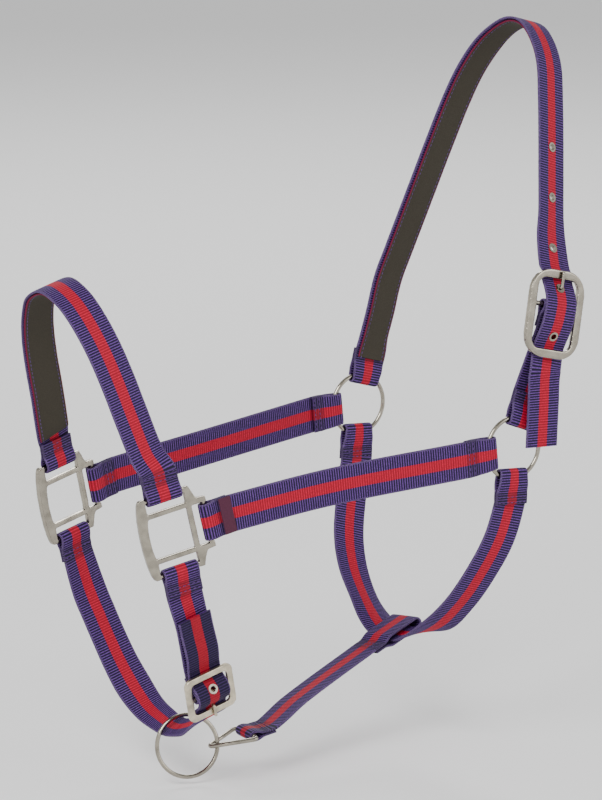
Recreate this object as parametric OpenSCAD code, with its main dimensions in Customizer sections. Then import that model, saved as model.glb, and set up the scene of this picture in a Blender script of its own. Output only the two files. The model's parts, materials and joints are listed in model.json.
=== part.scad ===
// Head halter of 25 mm webbing.
// +Z is up, the nose is towards -X and the animal's near (left) side is -Y.
// The origin is midway between the centres of the two jowl rings.

/* [Webbing] */
// Width of every strap
web_w = 24.4; // [22:0.2:25]
// Thickness of one layer of webbing
web_t = 1.8; // [1.4:0.1:2.0]
// Thickness of the soft lining
lining_t = 1.4; // [1.0:0.1:1.6]
// How much narrower the lining is than the webbing
lining_trim = 2; // [0:0.5:6]
// Gap between two layers that are sewn together
layer_gap = 0.2; // [0.16:0.01:0.24]

/* [Rings] */
// Radius of each ring, to the middle of its wire
ring_r = 20; // [19.8:0.1:21]
// Radius of the wire of the rings
ring_wire_r = 1.4; // [1.2:0.1:1.5]
// Distance from the middle plane to each jowl ring
jowl_y = 90; // [88:1:92]

/* [Squares] */
// Half the width of the square's window
window_half = 13.2; // [12.8:0.1:13.4]
// Distance from the square's centre to its outer bars
bar_reach = 24.8; // [24.4:0.1:25.4]
// Radius of the outer bars that the straps fold round
bar_r = 1.8; // [1.5:0.1:1.8]
// Thickness of the cast squares
square_t = 3.6; // [3:0.1:4]

/* [Crown buckle] */
// Width of the crown buckle frame
crown_frame_w = 43; // [41:1:46]
// Height of the crown buckle frame
crown_frame_h = 57; // [56:1:59]
// Width of the frame's bars
crown_bar_w = 5.6; // [5:0.2:6]

/* [Chin buckle] */
// Width of the chin buckle frame
chin_frame_w = 36; // [35:1:38]
// Height of the chin buckle frame
chin_frame_h = 31; // [30:1:33]
// Width of the frame's bars
chin_bar_w = 4.5; // [4:0.5:5]

/* [Lower straps] */
// Radius of the triangle link's wire
link_wire_r = 1.5; // [1.2:0.1:1.6]
// Width of the triangle link inside its base
link_w = 27; // [26.5:0.5:29]
// Distance from the link's base to its apex
link_l = 27; // [26:0.5:28]

/* [Hidden] */
$fn = 48;

navy = "#2b2358";
suede = "#4b443c";
nickel = "#b9b2a4";
cream_nickel = "#d9cfba";
maroon = "#3a1028";

half_w = web_w / 2;
layer_off = (web_t + layer_gap) / 2;   // from the fold's middle plane to each layer's middle
fold_gap = 0.36;                       // clearance between a bar and the strap round it
steps = 6;                             // stations for each stretch of a strap

// ---- vectors and smooth curves ----
function unit(v) = v / norm(v);
function flip_y(p) = [p[0], -p[1], p[2]];
// The direction of v once its part along t is taken away
function square_off(v, t) = unit(v - (v * t) * t);
// The curve from b to c at s, where u and v scale its slopes at the two ends
function curve_at(a, b, c, d, s, u = 0.5, v = 0.5) =
    b * (2 * s * s * s - 3 * s * s + 1) + (c - a) * u * (s * s * s - 2 * s * s + s)
        + c * (3 * s * s - 2 * s * s * s) + (d - b) * v * (s * s * s - s * s);
// A smooth curve through p; with places given, slopes follow how far apart those are
function smooth(p, places = undef) =
    let (
        n = len(p), q = concat([2 * p[0] - p[1]], p, [2 * p[n - 1] - p[n - 2]]),
        l = [for (i = [0 : n - 2]) is_undef(places) ? 1 : norm(places[i + 1] - places[i])]
    )
    concat([for (i = [1 : n - 1], k = [0 : steps - 1])
        let (before = l[max(i - 2, 0)], here = l[i - 1], after = l[min(i, n - 2)])
        curve_at(q[i - 1], q[i], q[i + 1], q[i + 2], k / steps,
            here / (before + here), here / (here + after))], [p[n - 1]]);

// ---- webbing ----
// A station is [middle of the layer, direction across the strap, half width].
// Direction of travel at station i
function travel(st, i) =
    let (a = st[max(i - 1, 0)][0], b = st[min(i + 1, len(st) - 1)][0]) unit(b - a);
function strap_ring(st, i, t) =
    let (
        along = travel(st, i),
        across = square_off(st[i][1], along) * st[i][2],
        out = unit(cross(along, across)) * t / 2,
        c = st[i][0]
    ) [c - across - out, c + across - out, c + across + out, c - across + out];
// A flat strap through the stations
module strap(st, t = web_t) {
    n = len(st);
    points = [for (i = [0 : n - 1]) each strap_ring(st, i, t)];
    sides = [for (i = [0 : n - 2], k = [0 : 3])
        let (a = 4 * i + k, b = 4 * i + (k + 1) % 4) each [[a, b + 4, b], [a, a + 4, b + 4]]];
    caps = [[0, 1, 2, 3], [4 * n - 1, 4 * n - 2, 4 * n - 3, 4 * n - 4]];
    polyhedron(points, concat(caps, sides), convexity = 10);
}

// A fold is [middle of the round end, direction away from it, bar direction, side,
// radius to the layer's middle, length held open, length to the neck, length of the hem,
// half width at the round end]. The hem is the turned-back layer, on the side given.
function fold_points(f) =
    let (
        along = f[1], across = square_off(f[2], f[1]), out = cross(along, across) * f[3],
        r = f[4], hold = f[5], neck = f[6], hem = f[7],
        flat = concat(
            [[hem, -layer_off], [(hem + neck) / 2, -layer_off], [neck, -layer_off]],
            [for (s = [0.25, 0.5, 0.75]) let (e = (1 - cos(180 * s)) / 2)
                [neck + (hold - neck) * s, -layer_off - (r - layer_off) * e]],
            [[hold, -r]],
            [for (a = [-90 : -22.5 : -270]) [r * cos(a), r * sin(a)]],
            [[hold, r]],
            [for (s = [0.75, 0.5, 0.25]) let (e = (1 - cos(180 * s)) / 2)
                [neck + (hold - neck) * s, layer_off + (r - layer_off) * e]],
            [[neck, layer_off]])
    ) [for (p = flat) f[0] + along * p[0] + out * p[1]];
// Half width along the fold: narrow at the round end, full at the neck
function fold_width(f, p) =
    let (far = max(0, min(1, ((p - f[0]) * f[1]) / f[6]))) f[8] + (half_w - f[8]) * far;
function fold(f) =
    let (across = square_off(f[2], f[1]))
    [for (p = fold_points(f)) [p, across, fold_width(f, p)]];
// Where the strap's free run leaves a fold
function fold_exit(f, s) =
    f[0] + f[1] * s + cross(f[1], square_off(f[2], f[1])) * f[3] * layer_off;
lining_off = web_t / 2 + lining_t / 2 + 0.25;
function backwards(st) = [for (i = [len(st) - 1 : -1 : 0]) st[i]];
// The free run between two folds; mids holds [point, direction across, half width]
function free_run(a, mids, b) =
    let (
        wa = square_off(a[2], a[1]), wb = square_off(b[2], b[1]),
        ctrl = concat([[fold_exit(a, a[6]), wa, half_w], [fold_exit(a, a[7]), wa, half_w]], mids,
            [[fold_exit(b, b[7]), wb, half_w], [fold_exit(b, b[6]), wb, half_w]]),
        places = [for (q = ctrl) q[0]],
        c = smooth(places, places),
        w = smooth([for (q = ctrl) q[1]], places),
        h = smooth([for (q = ctrl) [q[2]]], places)
    ) [for (i = [0 : len(c) - 1]) [c[i], w[i], h[i][0]]];
function inner(st, from, to) = [for (i = [from : to]) st[i]];
// Stations moved off the strap's face by a distance
function beside(st, distance) =
    [for (i = [0 : len(st) - 1])
        let (along = travel(st, i), across = square_off(st[i][1], along))
        [st[i][0] + cross(along, across) * distance, st[i][1], st[i][2]]];
function narrowed(st, trim) = [for (s = st) [s[0], s[1], s[2] - trim]];

// ---- squares: place and axes ----
square_centre = [-243, -65, -32];
square_pitch = 13;
square_yaw = 9;
// Directions of the near square: back along the cheek, and up to the noseband
square_back = [cos(square_pitch) * cos(square_yaw), -cos(square_pitch) * sin(square_yaw),
    sin(square_pitch)];
square_up = [-sin(square_pitch) * cos(square_yaw), sin(square_pitch) * sin(square_yaw),
    cos(square_pitch)];
near_jowl = [0, -jowl_y, 0];
far_jowl = [0, jowl_y, 0];

// ---- folds ----
bar_fold = bar_r + fold_gap + web_t / 2;
ring_fold = ring_wire_r + fold_gap + web_t / 2;
pinched = 10.5;                         // half width of a strap where it rounds a ring
ring_in = 16.7;                         // ring centre to the middle of a strap's round end
ring_hold = ring_r + ring_wire_r + 0.6 - ring_in;
function bar_end(bar, along, dir, side, r = bar_fold) =
    [bar, square_off(along, dir), dir, side, r, 1, 9, 16, half_w - 0.3];
function ring_end(centre, along, dir, side) =
    [centre + along * ring_in, along, dir, side, ring_fold, ring_hold, 14, 20, pinched];

// ---- noseband ----
nose_normal = [0.956, 0, 0.292];
nose_rise = [-0.28, 0.1, 0.95];
near_nose = bar_end(square_centre + square_up * bar_reach, nose_rise, square_back, -1);
far_nose = bar_end(flip_y(square_centre + square_up * bar_reach), flip_y(nose_rise),
    flip_y(square_back), 1);
function nose_at(y, z) = [-251 - 0.305 * z, y, z];
nose_near = [[-58, 18], [-51.8, 42], [-47, 64], [-40.5, 84], [-31, 101], [-19, 113.5]];
nose_points = concat([for (p = nose_near) nose_at(p[0], p[1])], [nose_at(-1, 120)],
    [for (i = [5 : -1 : 0]) nose_at(0.5 - nose_near[i][0], nose_near[i][1])]);
nose_run = free_run(near_nose, [for (p = nose_points) [p, nose_normal, half_w]], far_nose);

module noseband_strap() {
    color(navy) strap(concat(fold(near_nose), inner(nose_run, 1, len(nose_run) - 2),
        backwards(fold(far_nose))));
}
module noseband_lining() {
    run = inner(nose_run, steps + 3, len(nose_run) - 4 - steps);
    color(suede) strap(narrowed(beside(run, lining_off), lining_trim / 2), lining_t);
}

// ---- cheeks ----
near_rear_bar = square_centre + square_back * bar_reach;
cheek_dir = unit(near_jowl - near_rear_bar);
cheek_in = unit([near_rear_bar[0], 0, near_rear_bar[2] + 4]);
cheek_up = [cheek_in[2], 0, -cheek_in[0]];
near_cheek_a = bar_end(near_rear_bar, cheek_dir, square_up, 1);
near_cheek_b = ring_end(near_jowl, cheek_in, cheek_up, -1);
far_cheek_a = bar_end(flip_y(near_rear_bar), flip_y(cheek_dir), flip_y(square_up), -1);
far_cheek_b = ring_end(far_jowl, cheek_in, cheek_up, 1);
// The cheek straps bow up a little on their way to the rings
function cheek_mid(rise) =
    [near_rear_bar + (near_jowl - near_rear_bar) * 0.4 + [0, 0, rise], [0.07, 0, 1], half_w];
function cheek_st(a, mid, b) =
    let (run = free_run(a, [mid], b))
    concat(fold(a), inner(run, 1, len(run) - 2), backwards(fold(b)));
module near_cheek_strap() { color(navy) strap(cheek_st(near_cheek_a, cheek_mid(3), near_cheek_b)); }
module far_cheek_strap() {
    mid = cheek_mid(2);
    color(navy) strap(cheek_st(far_cheek_a, [flip_y(mid[0]), mid[1], mid[2]], far_cheek_b));
}

module size_tab() {
    tab_t = 0.8;
    out = cross(near_cheek_a[1], square_up);
    color(maroon) strap([for (s = [9.3, 12.5, 17.5])
        [fold_exit(near_cheek_a, s) + out * (web_t / 2 + tab_t / 2 + 0.4),
            square_up, half_w - 0.3]], tab_t);
}

// ---- cast squares, drawn in their own plane: X along the cheek, Y up ----
module square_outline() {
    ear = bar_reach + bar_r;
    side = window_half + 3.6;
    bow = [for (a = [0 : 15 : 180]) [-side - 4.5 * sin(a), ear * cos(a)]];
    polygon(concat(
        [for (p = [[side, -ear], [side + 2.5, -side - 3], [side + 4, -side - 0.5], [ear, -side],
            [ear, side], [side + 4, side + 0.5], [side + 2.5, side + 3], [side, ear]]) p],
        bow));
}
module square_window() {
    polygon(concat([[window_half, -window_half], [window_half, window_half]],
        [for (a = [0 : 20 : 180]) [-window_half - 2 * sin(a), window_half * cos(a)]]));
}
module square_slot() {
    translate([0, (window_half + 3.2 + bar_reach) / 2 + bar_r])
        square([2 * window_half + 0.4, bar_reach - window_half - 3.2 + 2 * bar_r], center = true);
}
module square_bar() {
    translate([0, bar_reach, 0]) rotate([0, 90, 0])
        cylinder(r = bar_r, h = 2 * window_half + 2, center = true);
}
module cast_square() {
    color(nickel) {
        linear_extrude(square_t, center = true) difference() {
            square_outline();
            square_window();
            for (a = [0, 180, -90]) rotate(a) square_slot();
        }
        for (a = [0, 180, -90]) rotate(a) square_bar();
    }
}
module near_square() {
    translate(square_centre) rotate([0, 0, -square_yaw]) rotate([0, -square_pitch, 0])
        rotate([90, 0, 0]) cast_square();
}
module far_square() { mirror([0, 1, 0]) near_square(); }

// ---- rings ----
module ring(r = ring_r) {
    color(nickel) rotate_extrude($fn = 96) translate([r, 0]) circle(ring_wire_r, $fn = 24);
}
module near_ring() { translate(near_jowl) rotate([90, 0, 0]) ring(); }
module far_ring() { translate(far_jowl) rotate([90, 0, 0]) ring(); }

// ---- throat strap ----
throat_drop = [-0.052, 0, -0.9986];
throat_back = [0.9986, 0, -0.052];
near_throat = ring_end(near_jowl, throat_drop, throat_back, -1);
far_throat = ring_end(far_jowl, throat_drop, throat_back, 1);
throat_low = [-32, 0, -134.5];
throat_normal = [0.965, 0, -0.26];
near_throat_side = [[-8, -86, -60], [-16, -76.5, -84], [-22.5, -63, -105], [-28, -44, -123]];
far_throat_side = [[-7.5, 86.5, -60], [-15, 78.5, -86], [-22, 62.5, -105], [-27.5, 40, -121.5]];
// The strap is bunched and turned a little where the connector goes round it
throat_pinch = 9.5;
throat_turn = [0.954, 0, 0.3];
throat_mids = concat(
    [for (p = near_throat_side) [p, throat_normal, half_w]],
    [[throat_low + [0, -15, 0.6], throat_turn, throat_pinch + 0.6],
        [throat_low, throat_turn, throat_pinch],
        [throat_low + [0, 15, 0.9], throat_turn, throat_pinch + 0.6]],
    [for (i = [3 : -1 : 0]) [far_throat_side[i], throat_normal, half_w]]);
module throat_strap() {
    run = free_run(near_throat, throat_mids, far_throat);
    color(navy) strap(concat(fold(near_throat), inner(run, 1, len(run) - 2),
        backwards(fold(far_throat))));
}

// ---- chin: a plane that hangs from the squares' lower bars ----
lower_bar = square_centre - square_up * bar_reach;
chin_down = [0.28, 0, -0.96];
chin_back = [0.96, 0, 0.28];
function chin_at(y, d) = [lower_bar[0], y, lower_bar[2]] + chin_down * d;

// Chin buckle: its centre bar, its axes and how its frame leans
chin_centre = chin_at(-62.5, 86.2);
chin_lean = 11;
chin_bar_r = 1.4;
chin_frame_t = 2.5;
chin_x = chin_back;
chin_y = -chin_down * cos(chin_lean) + [0, -1, 0] * sin(chin_lean);
chin_z = cross(chin_x, chin_y);
function matrix(x, y, z) =
    [[x[0], y[0], z[0], 0], [x[1], y[1], z[1], 0], [x[2], y[2], z[2], 0], [0, 0, 0, 1]];
module at_chin_buckle() { translate(chin_centre) multmatrix(matrix(chin_x, chin_y, chin_z)) children(); }
function on_chin(y, z) = chin_centre + chin_y * y + chin_z * z;

// ---- tie ring: hangs where the chin strap passes through it ----
tie_centre = [-201.1, -15, -185.4];
ring_face = unit([-0.29, -0.94, 0.187]);
ring_side = unit([0.956, -0.295, 0]);
ring_top = cross(ring_face, ring_side);
strap_angle = 120;                      // where the chin strap sits in the ring
ring_hang = -ring_side * cos(strap_angle) - ring_top * sin(strap_angle);
ring_pass_w = ring_side * sin(strap_angle) - ring_top * cos(strap_angle);
ring_pass = tie_centre - ring_hang * 14.3;
module tie_ring() {
    translate(tie_centre) rotate([0, acos(ring_face[2]), atan2(ring_face[1], ring_face[0])])
        ring();
}

// ---- chin strap, from the far square through the tie ring to the buckle ----
far_chin = bar_end(flip_y(lower_bar), chin_down, flip_y(square_back), 1);
near_chin = bar_end(lower_bar, chin_down, square_back, -1);
chin_mids = [
    [chin_at(64.3, 40), chin_back, half_w],
    [chin_at(59.5, 57), chin_back, half_w],
    [chin_at(54.3, 73), chin_back, half_w],
    [chin_at(48, 89), [0.95, -0.05, 0.3], half_w],
    [chin_at(38.5, 104.5), [0.92, -0.1, 0.38], half_w],
    [chin_at(25, 115.5) + [-1, 0, 0], [0.86, 0, 0.5], 11],
    [chin_at(9, 120) + [-2.5, 0, 0], [0.8, 0.1, 0.6], 9.8],
    [ring_pass, ring_pass_w, 9.3],
    [chin_at(-27, 117) + [-2, 0, 0], [0.82, 0.05, 0.57], 10.5],
    [chin_at(-41, 110.5), [0.92, 0, 0.4], 11.8],
    each [for (p = [[-18.5, -4.3], [-13.3, -3.3], [-11, -3.1], [-9.3, -2], [-7.4, 0.1],
        [-4.4, 3.2], [0, 4.7], [4.4, 3.4], [7.2, 0.4], [9.2, -2], [11, -3.1], [13.5, -3.3],
        [17.5, -3.2]]) [on_chin(p[0], p[1]), chin_x, half_w]]
];
function fold_ctrl(f) =
    let (w = square_off(f[2], f[1]))
    [[fold_exit(f, f[6]), w, half_w], [fold_exit(f, f[7]), w, half_w]];
function smooth_st(ctrl) =
    let (c = smooth([for (q = ctrl) q[0]]), w = smooth([for (q = ctrl) q[1]]),
        h = smooth([for (q = ctrl) [q[2]]]))
    [for (i = [0 : len(c) - 1]) [c[i], w[i], h[i][0]]];
chin_run = smooth_st(concat(fold_ctrl(far_chin), chin_mids));
// The station at a fraction f of a stretch, where f counts stretches from the strap's start
function between(st, f) =
    let (i = floor(f * steps), k = f * steps - i)
    [st[i][0] * (1 - k) + st[i + 1][0] * k, st[i][1] * (1 - k) + st[i + 1][1] * k,
        unit(st[i + 1][0] - st[i][0])];
// Stands on a strap: X across it, Z out of its face
module on_strap(st, f) {
    q = between(st, f);
    across = square_off(q[1], q[2]);
    out = cross(q[2], across);
    translate(q[0]) multmatrix(matrix(across, cross(out, across), out)) children();
}
// Eyelet: a short tube with a flange pressed into each face of the strap
hole_r = 1.9;
barrel_r = 2.3;
flange_r = 3.2;
flange_in = 0.55;                       // how near the strap's middle the flanges reach
flange_out = 1.25;
module eyelet() {
    rotate_extrude($fn = 32) polygon([[hole_r, -flange_out], [flange_r, -flange_out],
        [flange_r, -flange_in], [barrel_r, -flange_in], [barrel_r, flange_in],
        [flange_r, flange_in], [flange_r, flange_out], [hole_r, flange_out]]);
}
module eyelet_seat() {
    cylinder(r = barrel_r + 0.05, h = 6, center = true, $fn = 32);
    for (side = [0, 180]) rotate([side, 0, 0]) translate([0, 0, flange_in - 0.05])
        cylinder(r = flange_r + 0.05, h = 2.5, $fn = 32);
}
chin_hole_at = 15.65;
chin_eyelet_at = 18.95;
module chin_strap() {
    color(navy) difference() {
        strap(concat(fold(far_chin), inner(chin_run, 1, len(chin_run) - 1)));
        on_strap(chin_run, chin_eyelet_at) eyelet_seat();
        on_strap(chin_run, chin_hole_at) cylinder(r = 2.2, h = 6, center = true);
    }
}
module chin_eyelets() { color(nickel) on_strap(chin_run, chin_eyelet_at) eyelet(); }
tail_top = on_chin(18.1, -3.2);
module chin_tail() {
    color(navy) strap(smooth_st(concat([[tail_top, chin_x, half_w]],
        [for (p = [[-66.3, 57], [-67, 44], [-68.2, 32]]) [chin_at(p[0], p[1]), chin_back, half_w]])));
}
chin_buckle_fold = [chin_centre, chin_y * cos(30) - chin_z * sin(30), chin_x, -1,
    chin_bar_r + fold_gap + web_t / 2, 1, 8, 15, half_w - 0.3];
module chin_buckle_strap() {
    run = free_run(near_chin, [[chin_at(-63.3, 36), chin_back, half_w],
        [chin_at(-61, 54), chin_back, half_w]], chin_buckle_fold);
    color(navy) difference() {
        strap(concat(fold(near_chin), inner(run, 1, len(run) - 2),
            backwards(fold(chin_buckle_fold))));
        at_chin_buckle() cube([5.5, 13, 14], center = true);
    }
}

// ---- buckle frames and tongues, in the frame's own axes ----
module frame_plate(w, h, bar_w, t, corner, centre) {
    inner_r = min(corner / 2, 6);
    translate(centre) linear_extrude(t, center = true) difference() {
        offset(corner) square([w - 2 * corner, h - 2 * corner], center = true);
        offset(inner_r) square([w - 2 * bar_w - 2 * inner_r, h - 2 * bar_w - 2 * inner_r],
            center = true);
    }
}
module centre_bar(r, w) { rotate([0, 90, 0]) cylinder(r = r, h = w, center = true); }
// A round wire along a path that lies flat to the direction n
module wire(path, n, r, sides = 16) {
    m = len(path);
    points = [for (i = [0 : m - 1])
        let (
            t = unit(path[min(i + 1, m - 1)] - path[max(i - 1, 0)]),
            q = cross(n, t)
        )
        for (k = [0 : sides - 1])
            path[i] + r * (cos(360 * k / sides) * n + sin(360 * k / sides) * q)];
    rims = [for (i = [0 : m - 2], k = [0 : sides - 1])
        let (a = sides * i + k, b = sides * i + (k + 1) % sides)
        each [[a, b, b + sides], [a, b + sides, a + sides]]];
    caps = [[for (k = [sides - 1 : -1 : 0]) k], [for (k = [0 : sides - 1]) sides * (m - 1) + k]];
    polyhedron(points, concat(caps, rims), convexity = 10);
}
tongue_w = 3.4;
module tongue(bar_radius, path, r) {
    difference() {
        union() {
            centre_bar(bar_radius + 1.4, tongue_w);
            wire(smooth([for (p = path) [0, p[0], p[1]]]), [1, 0, 0], r);
        }
        centre_bar(bar_radius + 0.08, 3 * tongue_w);
    }
}
module chin_buckle_frame() {
    color(cream_nickel) at_chin_buckle() {
        frame_plate(chin_frame_w, chin_frame_h, chin_bar_w, chin_frame_t, 5, [0, 0, 0]);
        centre_bar(chin_bar_r, chin_frame_w - chin_bar_w);
    }
}
module chin_tongue() {
    color(cream_nickel) at_chin_buckle() tongue(chin_bar_r, [[-1.9, -1.2], [-4, -2.9],
        [-6, -3.2], [-7.3, -1.4], [-8.4, 0.7], [-9.6, 2.4], [-12, 2.7], [-15.8, 2.65]], 1);
}

// ---- triangle link and connector ----
link_dir = unit([0.975, -0.1, 0.2]);
link_base_dir = unit([0.1, 0.995, 0]);
link_base = tie_centre + ring_side * ring_r + link_dir * (link_l - 5);
module triangle_link() {
    bend_r = 2.2;
    half = link_w / 2 + link_wire_r;
    corner = 3;
    quarter = [90, 67.5, 45, 22.5, 0];
    lean = 64;
    far_half = [for (a = quarter) [-corner * (1 - sin(a)), half - corner * (1 - cos(a))]];
    apex = [for (a = [lean : -lean / 4 : -lean])
        [bend_r - link_l - bend_r * cos(a), bend_r * sin(a)]];
    flat = concat([[0, half - corner - 1]], far_half, apex,
        [for (i = [4 : -1 : 0]) [far_half[i][0], -far_half[i][1]]], [[0, corner + 1 - half]]);
    color(nickel) {
        wire([for (p = flat) link_base + link_dir * p[0] + link_base_dir * p[1]],
            cross(link_dir, link_base_dir), link_wire_r * 0.98);
        translate(link_base) rotate([90, 0, atan2(link_base_dir[1], link_base_dir[0]) + 90])
            cylinder(r = link_wire_r, h = 2 * (half - corner - 0.5), center = true);
    }
}
connector_dir = unit(throat_low - link_base);
connector_w = square_off([0.1, 0.995, 0], connector_dir);
link_fold = [link_base, link_dir, link_base_dir, 1,
    link_wire_r + fold_gap + web_t / 2, 1, 8, 15, 10.6];
throat_fold = [throat_low + connector_dir * 11.8 + [0, 0, 0.6], -connector_dir, connector_w, -1,
    3.2, 23.6, 32, 39, half_w];
module connector_strap() {
    run = free_run(link_fold, [[link_base + connector_dir * 45, connector_w, half_w]],
        throat_fold);
    color(navy) strap(concat(fold(link_fold), inner(run, 1, len(run) - 2),
        backwards(fold(throat_fold))));
}

// ---- crown ----
far_crown_up = [sin(15), 0, cos(15)];
far_crown_back = [cos(15), 0, -sin(15)];
near_crown_up = [sin(20), 0, cos(20)];
near_crown_back = [cos(20), 0, -sin(20)];
far_crown = ring_end(far_jowl, far_crown_up, far_crown_back, -1);
near_crown = ring_end(near_jowl, near_crown_up, near_crown_back, 1);

// Crown buckle: its centre bar, its axes and how its frame leans
crown_centre = [28.4, -97, 91];
crown_tilt = 13;
crown_lean = -6;
crown_bar_r = 1.6;
crown_frame_t = 3.2;
crown_frame_mid = [-1.2, -5.5, 0];      // frame's middle from its centre bar
crown_x = [cos(crown_tilt), 0, -sin(crown_tilt)];
crown_y = [sin(crown_tilt), 0, cos(crown_tilt)] * cos(crown_lean) + [0, -1, 0] * sin(crown_lean);
crown_z = cross(crown_x, crown_y);
module at_crown_buckle() {
    translate(crown_centre) multmatrix(matrix(crown_x, crown_y, crown_z)) children();
}
function on_crown(y, z) = crown_centre + crown_y * y + crown_z * z;
// The strap is turned a little about its length above the buckle
crown_turn = [0.93, 0.2, -0.25];
crown_mids = concat(
    [for (p = [[11.5, 88, 46], [15, 86, 62], [19.7, 84, 84], [24.5, 78.5, 104],
        [30.2, 71.3, 128], [36.2, 64.5, 152], [43.9, 58, 179], [51.6, 50.8, 206],
        [57.7, 42.8, 227], [63.2, 31, 245]]) [p, [0.95, 0.1, -0.255], half_w]],
    [for (p = [[67.5, 18, 257], [69.8, 4, 262.5], [70.3, -10, 260.5], [68.6, -24, 250.5],
        [65.5, -35, 236.5], [61, -43, 216], [55.5, -51.5, 193], [49, -61, 166.7],
        [43.5, -69, 146]]) [p, crown_turn, half_w]],
    [[[38.8, -76, 131], [0.96, 0.08, -0.24], half_w]],
    [for (p = [[26, -8.3], [21.5, -4.1], [17.5, -3.5], [14.2, -1.8], [10.8, 0.6], [5.4, 3.6],
        [0, 4.9], [-8, 4.2], [-14.5, 2.4], [-21, -0.6], [-26.5, -3.1], [-31, -3.6],
        [-35.2, -3.3]]) [on_crown(p[0], p[1]), crown_x, half_w]]);
crown_run = smooth_st(concat(fold_ctrl(far_crown), crown_mids));
// Where along the crown strap its eyelets sit, in stretches from its start
crown_eyelet_at = [18.25, 19.5, 21.35, 26, 30.75];
module crown_eyelet_places() {
    for (f = crown_eyelet_at) on_strap(crown_run, f) children();
}
module crown_strap() {
    color(navy) difference() {
        strap(concat(fold(far_crown), inner(crown_run, 1, len(crown_run) - 1)));
        crown_eyelet_places() eyelet_seat();
    }
}
module crown_eyelets() { color(nickel) crown_eyelet_places() eyelet(); }
module crown_lining() {
    end = fold(far_crown);
    st = concat(inner(end, len(end) - 3, len(end) - 1), inner(crown_run, 2, steps * 17));
    color(suede) strap(narrowed(beside(st, -lining_off), lining_trim), lining_t);
}
module crown_tail() {
    color(navy) strap(smooth_st([[on_crown(-36.75, -3.3), crown_x, half_w],
        [on_crown(-42, -3.2), crown_x, half_w], [[18.75, -97.4, 43.5], [0.98, 0, -0.17], half_w],
        [[18.4, -97.2, 29], [0.99, 0, -0.1], half_w],
        [[17.9, -97, 15], [0.995, 0, -0.07], half_w], [[17.4, -96.7, 0], [0.997, 0, -0.05], half_w]]));
}
crown_buckle_fold = [crown_centre, square_off([-9.4, 4.6, -36], crown_x), crown_x, 1,
    crown_bar_r + fold_gap + web_t / 2, 1, 8, 15, half_w - 0.3];
module crown_buckle_strap() {
    run = free_run(near_crown, [[[18.6, -92, 54], crown_x, half_w]], crown_buckle_fold);
    color(navy) difference() {
        strap(concat(fold(near_crown), inner(run, 1, len(run) - 2),
            backwards(fold(crown_buckle_fold))));
        at_crown_buckle() cube([5.5, 13, 14], center = true);
    }
}
module crown_buckle_frame() {
    color(nickel) at_crown_buckle() {
        frame_plate(crown_frame_w, crown_frame_h, crown_bar_w, crown_frame_t, 15,
            crown_frame_mid);
        centre_bar(crown_bar_r, crown_frame_w - crown_bar_w - 2);
    }
}
module crown_tongue() {
    color(nickel) at_crown_buckle() tongue(crown_bar_r, [[2, -1.4], [5.5, -3.3], [8.6, -3.4],
        [10, -1.5], [11.1, 0.8], [12.6, 2.8], [16, 3.2], [22.2, 3.1]], 1.1);
}

noseband_strap();
noseband_lining();
near_square();
far_square();
near_cheek_strap();
far_cheek_strap();
size_tab();
near_ring();
far_ring();
throat_strap();
connector_strap();
triangle_link();
tie_ring();
chin_strap();
chin_tail();
chin_buckle_strap();
chin_buckle_frame();
chin_tongue();
chin_eyelets();
crown_strap();
crown_lining();
crown_tail();
crown_buckle_strap();
crown_buckle_frame();
crown_tongue();
crown_eyelets();
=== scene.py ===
"""Head halter: webbing, lining, hardware, stitching and a plain studio around them."""

import json
import math

import bmesh  # noqa: E402
import bpy  # noqa: E402
from mathutils import Matrix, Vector, Vector as V  # noqa: E402
from mathutils.kdtree import KDTree  # noqa: E402


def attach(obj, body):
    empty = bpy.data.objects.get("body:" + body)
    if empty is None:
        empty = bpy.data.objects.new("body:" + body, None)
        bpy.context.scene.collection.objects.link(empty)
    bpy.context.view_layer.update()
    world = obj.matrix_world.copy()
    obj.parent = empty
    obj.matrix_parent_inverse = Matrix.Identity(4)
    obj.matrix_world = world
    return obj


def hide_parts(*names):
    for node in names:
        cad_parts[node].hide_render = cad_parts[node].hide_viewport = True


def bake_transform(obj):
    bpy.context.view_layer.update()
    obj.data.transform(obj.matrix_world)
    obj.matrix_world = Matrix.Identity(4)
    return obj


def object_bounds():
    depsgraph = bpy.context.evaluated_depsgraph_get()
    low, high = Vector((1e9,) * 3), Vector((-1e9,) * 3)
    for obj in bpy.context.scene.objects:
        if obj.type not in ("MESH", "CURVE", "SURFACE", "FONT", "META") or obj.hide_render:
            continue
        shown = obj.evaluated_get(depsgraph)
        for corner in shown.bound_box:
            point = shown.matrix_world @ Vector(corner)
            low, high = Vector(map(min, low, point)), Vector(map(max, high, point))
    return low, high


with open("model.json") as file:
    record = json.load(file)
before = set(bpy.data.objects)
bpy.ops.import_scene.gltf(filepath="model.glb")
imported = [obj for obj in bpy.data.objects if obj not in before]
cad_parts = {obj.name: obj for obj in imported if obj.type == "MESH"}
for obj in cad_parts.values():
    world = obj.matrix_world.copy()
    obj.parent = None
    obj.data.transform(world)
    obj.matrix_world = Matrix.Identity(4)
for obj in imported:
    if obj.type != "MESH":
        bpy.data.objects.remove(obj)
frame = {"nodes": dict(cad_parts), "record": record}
CAD_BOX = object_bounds()

bl_info = {
    "name": "Head halter",
    "version": (1, 0, 0),
    "blender": (4, 5, 0),
    "location": "3D View > Sidebar > Halter",
    "description": "Makes a webbing head halter with its buckles, rings and stitching",
    "category": "Object",
}

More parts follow.
